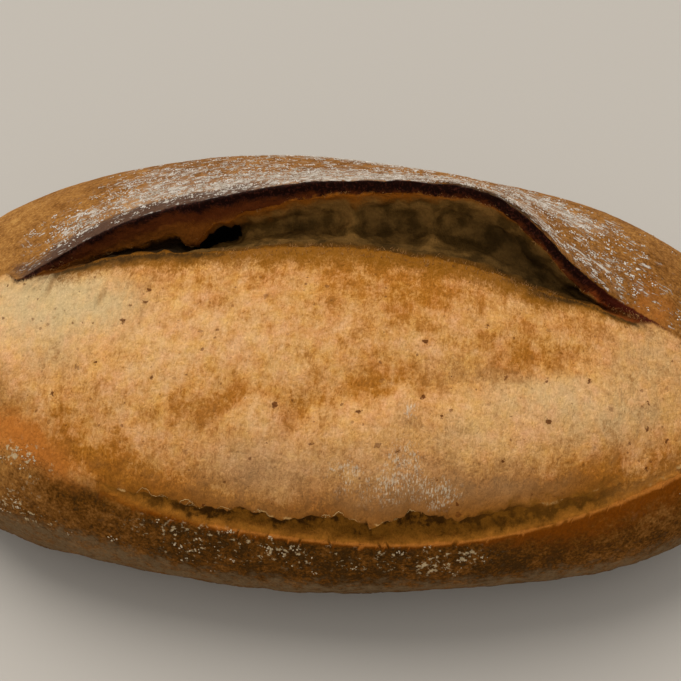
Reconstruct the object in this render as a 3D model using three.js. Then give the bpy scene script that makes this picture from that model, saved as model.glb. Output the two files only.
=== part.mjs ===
// A sourdough loaf baked free on its base: one long oval of bread with a single cut along its top.
// The cut has opened into a broad bloom. Behind the bloom the crust stands up as an ear over a hollow,
// and in front of it a craggy groove parts the bloom from the lip of the front crust.
// X runs along the loaf, +Y is the ear's side and +Z is up. A station is a place along the loaf from
// -1 to 1. A section's angle is 0 at the back, 90 on top, 180 at the front and 270 under the base.

import * as THREE from "three";
import { LoftGeometry } from "three/addons/geometries/LoftGeometry.js";

const { clamp, degToRad, lerp, radToDeg, smoothstep } = THREE.MathUtils;

// Body, in millimetres: the widest line of a section is at noseHeight and the base is cut flat at zero
const body = { length: 260, width: 141.5, domeHeight: 76.5, noseHeight: 26.7, sink: 4.7 };
// Roundness of a section above and below its widest line, 2 is an ellipse
const roundness = { upper: 2.15, lower: 2.4 };
// Bluntness of the two ends in plan, over the top and along the base, 2 is an ellipse
const bluntness = { planLeft: 3.06, planRight: 2.06, topLeft: 2.1, topRight: 2.34, base: 7 };
// Angle of the ear's rim and of the front lip: its value at one station and how it turns either side of it
const rimLine = { angle: 78.9, station: 0.228, left: 25.4, leftPower: 4.23, right: 60, rightPower: 1.35 };
const lipLine = { angle: 164.9, station: 0.088, left: -43.2, leftPower: 2, right: -41.2, rightPower: 2 };
// Where the cut runs out at the two ends: middle angle of the bloom, half of its least spread, and how
// late along the loaf the closed cut's lines part again
const runOut = { angle: 124, spread: 9, power: 8 };
// Ear: rise and forward lean of its tip, how far down the back it is raised, and its cut face
const ear = { lift: 13.1, lean: -1.1, flapAngle: 45, face: 4.4, faceTilt: 8, reach: [-0.7, 0.333, 0.615] };
// Hollow under the ear: angle from rim to crest, depth and how steeply it runs down to the back
const mouth = { angle: 11, least: 3.2, depth: 14.5, dip: 48, reach: [-0.72, -0.15, 0.72] };
const mouthEnds = { left: [-0.72, -0.48], right: [0.5, 0.66], deepest: 0.15 };
// Bloom: the crease along it, the bulge below the crease and the swelling over the groove
const bloom = { creaseAngle: 126.3, creaseTurn: -21, creaseDepth: 2.1, creaseWidth: 6, bulge: 1.6,
  swell: 1.8, swellPower: 4, reach: [-0.45, 0.15, 0.9] };
// Groove between bloom and lip: its angle, its depth and the lobes of the bloom's torn edge
const groove = { angle: 10.8, least: 3, depth: 5.2, lobe: 1.6, lobeLength: 0.17,
  fade: 0.1, reach: [-0.52, 0.22, 0.85] };
// Long waves of the hand-shaped surface: the angle each is centred on and its spread, the station of a
// crest, the wave's length and its height
const waves = [
  { angle: 45, spread: 60, station: -0.2, length: 0.9, height: 1.0 },
  { angle: 122, spread: 40, station: 0.12, length: 0.46, height: 0.5 },
  { angle: 198, spread: 38, station: -0.07, length: 0.64, height: 0.9 },
];

// Divisions: stations along the loaf and steps round each strip of a section
const stations = { count: 86, end: 0.998, gather: 0.8 };
const steps = { base: 3, under: 6, back: 15, face: 2, mouth: 8, bloom: 14, groove: 5, front: 10 };
const leastFoot = 84;

// A smooth rise from zero at the first station to one at the second and back to zero at the third
function hump(s, [from, peak, to]) {
  const off = s < peak ? (peak - s) / (peak - from) : (s - peak) / (to - peak);
  return Math.cos((clamp(off, 0, 1) * Math.PI) / 2) ** 2;
}

function narrowing(s, left, right) {
  const power = s < 0 ? left : right;
  return Math.sqrt(1 - Math.abs(s) ** power);
}

function halfWidth(s) {
  return (body.width / 2) * narrowing(s, bluntness.planLeft, bluntness.planRight);
}

function rise(s) {
  return (body.domeHeight - body.noseHeight) * narrowing(s, bluntness.topLeft, bluntness.topRight);
}

function drop(s) {
  return (body.noseHeight + body.sink) * narrowing(s, bluntness.base, bluntness.base);
}

// Smooth body of the loaf at a station and angle, as (y, z)
function bodyPoint(s, angle) {
  const across = Math.cos(degToRad(angle));
  const upward = Math.sin(degToRad(angle));
  const power = 2 / (upward > 0 ? roundness.upper : roundness.lower);
  const height = upward > 0 ? rise(s) : drop(s);
  const y = halfWidth(s) * Math.sign(across) * Math.abs(across) ** power;
  const z = body.noseHeight + height * Math.sign(upward) * Math.abs(upward) ** power;
  return new THREE.Vector2(y, Math.max(z, 0));
}

// Outward direction at a point of a section
function outward(point) {
  return new THREE.Vector2(point.x, point.y - body.noseHeight).normalize();
}

// Height of the waves over the smooth body, nothing at the two ends
function unevenness(s, angle) {
  let height = 0;
  for (const wave of waves) {
    const around = hump(angle, [wave.angle - wave.spread, wave.angle, wave.angle + wave.spread]);
    const along = Math.cos((2 * Math.PI * (s - wave.station)) / wave.length);
    height += wave.height * around * along * (1 - s ** 2);
  }
  return height;
}

function lineAngle(s, line) {
  const off = Math.abs(s - line.station);
  const turn = s < line.station ? line.left * off ** line.leftPower : line.right * off ** line.rightPower;
  return line.angle + turn;
}

// How far the mouth is open at a station, from closed at zero to open at one
function opening(s) {
  return smoothstep(s, ...mouthEnds.left) * (1 - smoothstep(s, ...mouthEnds.right));
}

// Angles of the lines that part a section into its strips
function sectionLines(s) {
  const rim = Math.min(lineAngle(s, rimLine), runOut.angle - runOut.spread);
  const lip = Math.max(lineAngle(s, lipLine), runOut.angle + runOut.spread);
  const spread = 1 + s ** runOut.power;
  const gap = Math.max(mouth.angle * Math.sqrt(hump(s, mouth.reach)), mouth.least * spread);
  const lobe = groove.lobe * Math.sin((2 * Math.PI * s) / groove.lobeLength);
  const width = Math.max((groove.angle + lobe) * Math.sqrt(hump(s, groove.reach)), groove.least * spread);
  const hold = (body.noseHeight / Math.max(drop(s), body.noseHeight)) ** (roundness.lower / 2);
  return {
    foot: Math.min(radToDeg(Math.asin(hold)), leastFoot),
    rim,
    face: rim + gap / 3,
    crest: rim + gap,
    crag: lip - width,
    lip,
  };
}

// Crust, raised towards the ear's rim on the back
function crustPoint(s, angle, lines) {
  const point = bodyPoint(s, angle);
  const bent = clamp((angle - lines.rim + ear.flapAngle) / ear.flapAngle, 0, 1);
  const raise = angle <= lines.rim ? hump(s, ear.reach) * bent ** 2 : 0;
  point.addScaledVector(outward(point), unevenness(s, angle));
  return point.add(new THREE.Vector2(-ear.lean * raise, ear.lift * raise));
}

// Surface of the bloom between the crest and its torn lower edge
function bloomPoint(s, angle, lines) {
  const point = bodyPoint(s, angle);
  const crease = bloom.creaseAngle + bloom.creaseTurn * s;
  const valley = Math.exp(-(((angle - crease) / bloom.creaseWidth) ** 2));
  const below = clamp((angle - crease) / (lines.crag - crease), 0, 1);
  const down = (angle - lines.crest) / (lines.crag - lines.crest);
  const relief = bloom.bulge * Math.sin(Math.PI * below) - bloom.creaseDepth * valley;
  const swell = bloom.swell * hump(s, groove.reach) * down ** bloom.swellPower;
  const height = relief * hump(s, bloom.reach) + swell + unevenness(s, angle);
  return point.addScaledVector(outward(point), height);
}

// Lower edge of the ear's cut face
function faceFoot(s, lines) {
  const tilt = degToRad(ear.faceTilt);
  const tip = crustPoint(s, lines.rim, lines);
  return tip.add(new THREE.Vector2(-ear.face * Math.sin(tilt), -ear.face * Math.cos(tilt)));
}

// Hollow from the foot of the cut face, in under the ear and out to the crest of the bloom
function mouthCurve(s, lines) {
  const start = faceFoot(s, lines);
  const end = bloomPoint(s, lines.crest, lines);
  const depth = 2 * mouth.depth * Math.sqrt(hump(s, [mouth.reach[0], mouthEnds.deepest, mouth.reach[2]]));
  const dip = degToRad(mouth.dip);
  const inner = start.clone().add(end).multiplyScalar(0.5);
  inner.add(new THREE.Vector2(depth * Math.cos(dip), -depth * Math.sin(dip)));
  return new THREE.QuadraticBezierCurve(start, inner, end);
}

// Groove from the bloom's torn edge in and out to the lip of the front crust
function grooveCurve(s, lines) {
  const start = bloomPoint(s, lines.crag, lines);
  const end = crustPoint(s, lines.lip, lines);
  const inner = start.clone().add(end).multiplyScalar(0.5);
  inner.addScaledVector(outward(inner), -2 * groove.depth * hump(s, groove.reach));
  return new THREE.QuadraticBezierCurve(start, inner, end);
}

// Points of one strip, its last point left to the next strip
function strip(count, from, to, place) {
  return Array.from({ length: count }, (_, k) => place(lerp(from, to, k / count), k / count));
}

function section(s) {
  const lines = sectionLines(s);
  const open = opening(s);
  const tear = smoothstep(hump(s, groove.reach), 0, groove.fade);
  const hollow = mouthCurve(s, lines);
  const furrow = grooveCurve(s, lines);
  const tip = crustPoint(s, lines.rim, lines);
  const crust = (angle) => crustPoint(s, angle, lines);
  const face = (angle, k) => crust(angle).lerp(tip.clone().lerp(hollow.v0, k), open);
  const inside = (angle, k) => crust(angle).lerp(hollow.getPoint(k), open);
  const torn = (angle, k) => crust(angle).lerp(furrow.getPoint(k), tear);
  const points = [
    ...strip(steps.base, -90, -lines.foot, crust),
    ...strip(steps.under, -lines.foot, 0, crust),
    ...strip(steps.back, 0, lines.rim, crust),
    ...strip(steps.face, lines.rim, lines.face, face),
    ...strip(steps.mouth, lines.face, lines.crest, inside),
    ...strip(steps.bloom, lines.crest, lines.crag, (angle) => bloomPoint(s, angle, lines)),
    ...strip(steps.groove, lines.crag, lines.lip, torn),
    ...strip(steps.front, lines.lip, 180 + lines.foot, crust),
    ...strip(steps.base, 180 + lines.foot, 270, crust),
  ];
  return points.map((point) => new THREE.Vector3((s * body.length) / 2, point.x, point.y));
}

// Stations gathered towards the two round ends
function stationAt(k) {
  const even = (2 * k) / (stations.count - 1) - 1;
  return stations.end * lerp(even, Math.sin((even * Math.PI) / 2), stations.gather);
}

const sections = Array.from({ length: stations.count }, (_, k) => section(stationAt(k)));
const geometry = new LoftGeometry(sections, { closed: true, capStart: true, capEnd: true });
const crustMaterial = new THREE.MeshStandardMaterial({ color: 0xb27a44, roughness: 0.85, metalness: 0 });

const loaf = new THREE.Mesh(geometry, crustMaterial);
loaf.name = "loaf";
// The origin is on the base, under the middle of the loaf's box
const middle = new THREE.Box3().setFromObject(loaf).getCenter(new THREE.Vector3());
loaf.position.set(-middle.x, -middle.y, 0);

const sourdoughLoaf = new THREE.Group();
sourdoughLoaf.name = "sourdough_loaf";
sourdoughLoaf.add(loaf);

export default sourdoughLoaf;
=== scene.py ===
import math

import bpy
import numpy as np
from mathutils import Matrix, Vector
from mathutils.bvhtree import BVHTree


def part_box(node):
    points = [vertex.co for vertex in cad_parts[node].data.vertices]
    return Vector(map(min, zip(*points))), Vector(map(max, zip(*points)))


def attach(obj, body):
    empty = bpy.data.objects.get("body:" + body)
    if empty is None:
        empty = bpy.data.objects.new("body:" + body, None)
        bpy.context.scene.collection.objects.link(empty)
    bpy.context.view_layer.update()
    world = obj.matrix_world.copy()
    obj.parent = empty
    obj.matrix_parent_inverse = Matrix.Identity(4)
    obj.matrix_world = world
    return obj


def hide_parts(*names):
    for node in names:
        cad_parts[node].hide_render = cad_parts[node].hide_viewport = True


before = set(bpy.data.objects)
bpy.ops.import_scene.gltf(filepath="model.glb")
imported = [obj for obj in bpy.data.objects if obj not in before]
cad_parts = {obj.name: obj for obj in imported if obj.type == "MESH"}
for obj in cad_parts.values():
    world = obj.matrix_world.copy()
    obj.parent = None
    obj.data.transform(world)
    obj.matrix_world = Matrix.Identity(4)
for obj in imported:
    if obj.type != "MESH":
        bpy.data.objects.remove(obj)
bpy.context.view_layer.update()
mm = 0.001


def deselectAll():
    if bpy.context.mode != "OBJECT":
        bpy.ops.object.mode_set(mode="OBJECT")
    bpy.ops.object.select_all(action="DESELECT")


def smoothStep(value, low, high):
    share = np.clip((value - low) / (high - low), 0, 1)
    return share * share * (3 - 2 * share)


def hump(value, reach):
    start, peak, end = reach
    off = np.where(value < peak, (peak - value) / (peak - start), (value - peak) / (end - peak))
    return np.cos(np.clip(off, 0, 1) * math.pi / 2) ** 2


def bell(value, middle, spread):
    return np.exp(-((value - middle) / spread) ** 2)


def between(value, rise, fall):
    # full from the end of the rise to the start of the fall
    return smoothStep(value, *rise) * (1 - smoothStep(value, *fall))


def ripple(s, length, start, turns=4):
    # uneven waves along the loaf, each finer one lower than the last
    total = 0
    for turn in range(turns):
        total = total + np.sin(2 * math.pi * s / length * 1.73 ** turn + start * (turn + 1.3)) / 1.5 ** turn
    return total / 2


# the loaf's form, in millimetres, degrees from the back over the top, and stations along it from -1 to 1

loafForm = {
    "width": 141.5, "domeHeight": 76.5, "noseHeight": 26.7, "sink": 4.7,
    "upperRoundness": 2.15, "lowerRoundness": 2.4,
    "planBlunt": (3.06, 2.06), "topBlunt": (2.1, 2.34), "baseBlunt": (7.0, 7.0),
    "noseStation": 0.998, "leastFoot": 84,
    "rings": 320, "gather": 0.5,
    "steps": {"base": 9, "under": 22, "back": 68, "face": 18, "mouth": 38, "bloom": 90, "groove": 18,
              "front": 30},
}
waves = [  # long unevenness of the shaped dough
    {"angle": 45, "spread": 60, "station": -0.2, "length": 0.9, "height": 1.0},
    {"angle": 122, "spread": 40, "station": 0.12, "length": 0.46, "height": 0.5},
    {"angle": 198, "spread": 38, "station": -0.07, "length": 0.64, "height": 0.9},
]
swells = [  # small fullness and slackness of the front towards the right end
    {"angle": 188, "spread": 45, "station": 0.74, "width": 0.13, "height": 2.0},
    {"angle": 188, "spread": 40, "station": 0.43, "width": 0.12, "height": -0.8},
]
# bends of a line: station, width and turn in degrees
rimLine = {"angle": 78.9, "station": 0.228, "left": 29, "leftPower": 4.23, "right": 60, "rightPower": 1.35,
           "hook": 7.5, "hookReach": (0.655, 0.71),
           "bends": [(0.455, 0.095, 3.2), (-0.26, 0.13, 1.1)]}
lipLine = {"angle": 164.9, "station": 0.088, "left": -43.2, "leftPower": 2, "right": -41.2, "rightPower": 2,
           "ridge": 0.7, "ridgeWidth": 1.3, "rise": 1.7, "riseStation": 0.05, "riseWidth": 0.27}
runOut = {"angle": 124, "spread": 9, "power": 8}
ear = {
    "lift": 13.1, "lean": -1.1, "flapAngle": 45, "face": 3.7, "faceTilt": 8, "reach": (-0.7, 0.333, 0.615),
    "edgeWave": 0.45, "edgeLength": 0.16, "edgeStart": 2.1,
    "rough": 0.12, "roughLength": 0.09, "roughStart": 4.2,
    "leftFlap": 5.0, "leftReach": (-0.7, -0.36, 0.02), "rightFlap": 1.2, "rightReach": (0.3, 0.5, 0.68),
    "thin": 0.5, "thinReach": (-0.68, -0.5), "tooth": 5.5, "toothStation": -0.306, "toothWidth": 0.024,
}
mouth = {
    "angle": 11, "least": 3.2, "power": 0.24, "depth": 14.5, "dip": 48, "deepest": 0.15,
    "reach": (-0.72, -0.15, 0.72), "leftEnd": (-0.72, -0.48), "rightEnd": (0.5, 0.66),
    "pocket": 9, "pocketStation": -0.25, "pocketWidth": 0.045,
    "pillar": 4.0, "pillarStations": (0.035, 0.2), "pillarWidth": 0.018,
    "bends": [(-0.63, 0.06, -0.9), (-0.52, 0.13, -1.5), (-0.36, 0.1, -0.5), (0.24, 0.12, 2.0),
              (0.49, 0.08, -2.3)],
}
bloom = {
    "creaseAngle": 126.3, "creaseTurn": -21, "creaseDepth": 1.6, "creaseWidth": 6.5,
    "creaseSkew": (1.25, 0.75), "bulge": 1.7, "swell": 1.8, "swellPower": 4, "reach": (-0.45, 0.15, 0.9),
    "bends": [(-0.125, 0.05, -4), (-0.045, 0.026, 6.5), (0.16, 0.02, -2.5), (-0.23, 0.06, 4)],
    "stepHeight": 0.35, "stepWidth": 4.0, "pullShadow": 1.4,
    "pulls": [  # dough drawn into small ridges: where each runs, its sideways bend, its height and half width
        {"station": -0.575, "angles": (92, 106), "bend": -2.4, "height": 2.0, "width": 0.85},
        {"station": -0.455, "angles": (98, 108), "bend": -2.2, "height": 1.9, "width": 0.85},
        {"station": -0.385, "angles": (100, 116), "bend": 1.8, "height": 1.5, "width": 0.85},
    ],
}
groove = {
    "angle": 10.8, "least": 3, "depth": 5.2, "lobe": 1.6, "lobeLength": 0.17, "fade": 0.1,
    "reach": (-0.52, 0.22, 0.85), "scallop": 2.2, "scallopLength": 0.13, "scallopStart": 0.7,
    "shallowReach": (0.2, 0.48), "shallow": 0.55,  # towards the right the tear turns into a soft slope
}

lowCorner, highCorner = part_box("loaf")
loafLength = (highCorner[0] - lowCorner[0]) / mm / loafForm["noseStation"]


def narrowing(s, blunt):
    return np.sqrt(np.clip(1 - np.abs(s) ** np.where(s < 0, blunt[0], blunt[1]), 0, None))


def bodyPoint(s, angle):
    across, upward = np.cos(np.radians(angle)), np.sin(np.radians(angle))
    power = 2 / np.where(upward > 0, loafForm["upperRoundness"], loafForm["lowerRoundness"])
    halfWidth = loafForm["width"] / 2 * narrowing(s, loafForm["planBlunt"])
    rise = (loafForm["domeHeight"] - loafForm["noseHeight"]) * narrowing(s, loafForm["topBlunt"])
    drop = (loafForm["noseHeight"] + loafForm["sink"]) * narrowing(s, loafForm["baseBlunt"])
    y = halfWidth * np.sign(across) * np.abs(across) ** power
    z = loafForm["noseHeight"] + np.where(upward > 0, rise, drop) * np.sign(upward) * np.abs(upward) ** power
    return np.stack([y, np.maximum(z, 0)], -1)


def outward(point):
    away = point - np.array([0, loafForm["noseHeight"]])
    return away / np.maximum(np.linalg.norm(away, axis=-1, keepdims=True), 1e-6)


def unevenness(s, angle):
    height = 0
    for row in waves + swells:
        around = hump(angle, (row["angle"] - row["spread"], row["angle"], row["angle"] + row["spread"]))
        if "length" in row:
            along = np.cos(2 * math.pi * (s - row["station"]) / row["length"]) * (1 - s ** 2)
        else:
            along = bell(s, row["station"], row["width"])
        height = height + row["height"] * around * along
    return height


def lineAngle(s, line):
    off = np.abs(s - line["station"])
    left = line["left"] * off ** line["leftPower"]
    right = line["right"] * off ** line["rightPower"]
    return line["angle"] + np.where(s < line["station"], left, right)


def bent(s, angle, bends):
    for station, width, turn in bends:
        angle = angle + turn * bell(s, station, width)
    return angle


def shallowing(s):
    return 1 - groove["shallow"] * smoothStep(s, *groove["shallowReach"])


def cutLines(s):
    rim = lineAngle(s, rimLine) - rimLine["hook"] * smoothStep(-s, *rimLine["hookReach"])
    rim = np.minimum(bent(s, rim, rimLine["bends"]), runOut["angle"] - runOut["spread"])
    lowLip = np.maximum(lineAngle(s, lipLine), runOut["angle"] + runOut["spread"])
    lip = lowLip - lipLine["rise"] * bell(s, lipLine["riseStation"], lipLine["riseWidth"])
    spread = 1 + s ** runOut["power"]
    gap = np.maximum(mouth["angle"] * hump(s, mouth["reach"]) ** mouth["power"], mouth["least"] * spread)
    gap = bent(s, gap, mouth["bends"])  # where it gapes more or less
    lobe = groove["lobe"] * np.sin(2 * math.pi * s / groove["lobeLength"])
    scallop = np.abs(ripple(s, groove["scallopLength"], groove["scallopStart"])) - 0.5
    lobe = lobe + groove["scallop"] * scallop
    lobe = lobe * shallowing(s)
    width = (groove["angle"] + lobe) * np.sqrt(hump(s, groove["reach"]))
    drop = (loafForm["noseHeight"] + loafForm["sink"]) * narrowing(s, loafForm["baseBlunt"])
    hold = loafForm["noseHeight"] / np.maximum(drop, loafForm["noseHeight"])
    hold = hold ** (loafForm["lowerRoundness"] / 2)
    return {
        "foot": np.minimum(np.degrees(np.arcsin(hold)), loafForm["leastFoot"]),
        "rim": rim, "face": rim + gap / 3, "crest": rim + gap,
        "crag": lowLip - np.maximum(width, groove["least"] * spread), "lip": lip,
        "crease": bent(s, bloom["creaseAngle"] + bloom["creaseTurn"] * s, bloom["bends"]),
    }


def crustPoint(s, angle, lines):
    point = bodyPoint(s, angle)
    bent = np.clip((angle - lines["rim"] + ear["flapAngle"]) / ear["flapAngle"], 0, 1)
    raised = np.where(angle <= lines["rim"] + 1e-9, hump(s, ear["reach"]) * bent ** 2, 0)
    wave = ear["edgeWave"] * ripple(s, ear["edgeLength"], ear["edgeStart"])
    height = ear["lift"] * raised + wave * raised ** 2
    ridge = lipLine["ridge"] * bell(angle, lines["lip"], lipLine["ridgeWidth"]) * hump(s, groove["reach"])
    point = point + outward(point) * (unevenness(s, angle) + ridge)[..., None]
    return point + np.stack([-ear["lean"] * raised, height], -1)


def pulledRidges(s, angle, beside=0):
    height = 0 * (s + angle)
    for pull in bloom["pulls"]:
        first, last = pull["angles"]
        share = np.clip((angle - first) / (last - first), 0, 1)
        aside = (s - pull["station"]) * loafLength / 2 - pull["bend"] * np.sin(math.pi / 2 * share) - beside
        run = hump(angle, (first, (first + last) / 2, last))
        height = height + pull["height"] * bell(aside, 0, pull["width"]) * run
    return height


def bloomPoint(s, angle, lines):
    point = bodyPoint(s, angle)
    past = angle - lines["crease"]
    above, under = bloom["creaseSkew"]
    valley = bell(past, 0, bloom["creaseWidth"] * np.where(past < 0, above, under))
    below = np.clip(past / (lines["crag"] - lines["crease"]), 0, 1)
    down = np.clip((angle - lines["crest"]) / (lines["crag"] - lines["crest"]), 0, 1)
    relief = bloom["bulge"] * np.sin(math.pi * below) - bloom["creaseDepth"] * valley
    relief = relief + bloom["stepHeight"] * smoothStep(past, 0, bloom["stepWidth"]) * (1 - below)
    swell = bloom["swell"] * down ** bloom["swellPower"]
    height = relief * hump(s, bloom["reach"]) + swell * hump(s, groove["reach"]) + unevenness(s, angle)
    height = height + pulledRidges(s, angle)
    return point + outward(point) * height[..., None]


def faceLength(s):
    length = ear["face"] + ear["leftFlap"] * hump(s, ear["leftReach"])
    length = length + ear["rightFlap"] * hump(s, ear["rightReach"])
    length = length + ear["tooth"] * bell(s, ear["toothStation"], ear["toothWidth"])
    length = length * (ear["thin"] + (1 - ear["thin"]) * smoothStep(s, *ear["thinReach"]))
    return length * (1 + ear["rough"] * ripple(s, ear["roughLength"], ear["roughStart"]))


def curveThrough(start, inner, end, share):
    share = share[None, :, None]
    return (1 - share) ** 2 * start + 2 * share * (1 - share) * inner + share ** 2 * end


def shapeSections(s):
    lines = cutLines(s)
    steps = loafForm["steps"]
    opening = between(s, mouth["leftEnd"], mouth["rightEnd"])
    tear = smoothStep(hump(s, groove["reach"]), 0, groove["fade"])
    tilt, dip = math.radians(ear["faceTilt"]), math.radians(mouth["dip"])

    tip = crustPoint(s, lines["rim"], lines)
    faceFoot = tip - faceLength(s)[..., None] * np.array([math.sin(tilt), math.cos(tilt)])
    crest = bloomPoint(s, lines["crest"], lines)
    depth = mouth["depth"] * np.sqrt(hump(s, (mouth["reach"][0], mouth["deepest"], mouth["reach"][2])))
    depth = depth + mouth["pocket"] * bell(s, mouth["pocketStation"], mouth["pocketWidth"])
    for station in mouth["pillarStations"]:
        depth = depth - mouth["pillar"] * bell(s, station, mouth["pillarWidth"])
    inner = (faceFoot + crest) / 2 + 2 * depth[..., None] * np.array([math.cos(dip), -math.sin(dip)])
    crag, lip = bloomPoint(s, lines["crag"], lines), crustPoint(s, lines["lip"], lines)
    bottom = (crag + lip) / 2
    sunk = 2 * groove["depth"] * hump(s, groove["reach"]) * shallowing(s)
    bottom = bottom - outward(bottom) * sunk[..., None]

    # one strip of each section after the other, from under the back round to under the front
    starts = [("base", 0 * s - 90), ("under", -lines["foot"]), ("back", 0 * s), ("face", lines["rim"]),
              ("mouth", lines["face"]), ("bloom", lines["crest"]), ("groove", lines["crag"]),
              ("front", lines["lip"]), ("base", 180 + lines["foot"]), ("", 0 * s + 270)]
    rows = []
    for (name, start), (_, end) in zip(starts, starts[1:]):
        share = np.arange(steps[name]) / steps[name]
        angle = start + (end - start) * share[None, :]
        points = bloomPoint(s, angle, lines) if name == "bloom" else crustPoint(s, angle, lines)
        if name == "face":
            points = points + (tip + (faceFoot - tip) * share[None, :, None] - points) * opening[..., None]
        elif name == "mouth":
            points = points + (curveThrough(faceFoot, inner, crest, share) - points) * opening[..., None]
        elif name == "groove":
            points = points + (curveThrough(crag, bottom, lip, share) - points) * tear[..., None]
        rows.append((name, angle, points))
    return rows, lines, opening, tear


def ringStations():
    even = 2 * np.arange(1, loafForm["rings"] + 1) / (loafForm["rings"] + 1) - 1
    gathered = np.sin(even * math.pi / 2)
    return (even + (gathered - even) * loafForm["gather"])[:, None]


# how the oven and the flour marked it, and the light and shade painted into its colour: under the crest, in
# the hollow, on the ear's cut face, in the groove and along the crease
cutEnds = {"left": (-0.7, -0.52), "right": (0.58, 0.68), "edge": 0.6}  # where the cut closes to a line
spineAngle = 125  # lengths across the skin are taken from here
bloomBake = {
    "plain": 0.42, "crag": 0.76, "cragWidth": 7.5, "endReach": (0.84, 0.95),
    "leftShare": 0.35, "leftEdge": (-0.72, -0.48, -0.3), "rightFade": 0.6, "fadeReach": (0.53, 0.65),
    # a stain along the crease, partly painted shade of the crease, reaching further above it than below
    "stainAndShade": 0.24, "stainAndShadeAbove": 6.5, "stainAndShadeBelow": 1.4, "stainAndShadeReach": (-0.45, -0.02, 0.8),
}
crestBrownAndShadow = {  # how far down from the crest it is brown, partly browning and partly painted shadow of the ear, and where painted shade of the ear darkens it further
    "least": 4.2, "most": 0.7, "reach": (-0.3, 0.2, 1.0), "short": 0.6, "shortReach": (0.4, 0.54),
    "closed": 4, "shade": 4.2, "leftShade": (0.15, 0.3), "rightShade": (0.3, 0.45),
}
crustBake = {"back": 0.55, "front": 0.93, "under": 0.85, "frontReach": (0, 52), "underReach": (-16, -2)}
lipFade = {
    "rise": 10.5, "leftReach": (0.36, 0.6), "sharp": 1.4, "soft": 8.0, "softReach": (0.3, 0.5),
    "glow": 1.6, "rightGlow": 8.0, "glowReach": (0.26, 0.55),
    "leastSlope": 0.3, "slope": 3.2, "slopeReach": (0.2, 0.5), "ridge": 0.6, "ridgeReach": (-0.36, -0.1),
    # the deep entries set painted shade in the groove, stronger where the tear is deep and in a band across
    # its middle
    "deep": (0.4, 0.6), "deepReach": (-0.44, -0.2), "grooveShadeBand": (0.45, 0.22), "leastBand": 0.5,
    "footStart": (174, 186), "footEnd": (186, 216), "footRise": 9, "footLeft": (0.15, 0.5),
}
rimBurn = {
    "leftEnd": (-0.72, -0.66), "rightEnd": (0.66, 0.71),
    "top": 1.2, "topReach": (-0.6, -0.42), "topEnd": (0.3, 0.42),
    "face": (1.6, 1.8, 0.2), "faceReach": (-0.37, -0.25), "faceEnd": (0.34, 0.5),
    "purpleReach": (-0.82, -0.46, 0.1), "purple": (-9.8, -4.5), "bare": (-9.6, -4.5),
    # the last reach on the next line is where the ear's cut face gets a painted highlight
    "redReach": (0.48, 0.6), "paintedLightReach": (0.5, 0.57),
    "singe": 0.75, "singeDepth": (-11.0, -1.0), "singeReach": (0.1, 0.3), "singeEnd": (0.38, 0.47),
}
hollowShade = {  # painted shade in the hollow, and where its ceiling colour reaches: stations, and shares of the way in from the ear's face to the crest
    "holeLeft": (-0.33, -0.305), "holeRight": (-0.232, -0.202), "holeDepth": ((0.08, 0.2), (0.3, 0.48)),
    "crack": 0.95, "crackReach": (0.26, 0.34), "crackDepth": ((0.02, 0.14), (0.75, 0.97)),
    "right": 0.62, "rightReach": (0.1, 0.4), "rightDepth": ((0.04, 0.3), (0.95, 1.0)),
    "bay": 0.45, "bayPlace": (-0.08, 0.06), "wideBay": 0.42, "wideReach": ((0.03, 0.06), (0.16, 0.2)),
    "bayDepth": (0.5, 0.28), "low": 0.5, "lowDepth": ((0.5, 0.8), (0.95, 1.0)),
    "ceilingGrowth": (1.5, 3.5), "ceilingReach": (0.1, 0.35),
}
crustFlour = {
    "band": 0.6, "bandPlace": -5.0, "bandLeft": -4.0, "bandWidth": 10.5, "bandReach": (-0.72, -0.1, 0.98),
    "endFade": 0.7, "bandEnd": (0.36, 0.56), "haze": 0.45, "hazeWidth": 28,
    "purpleBare": 0.66, "singeBare": 0.9,
}
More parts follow.
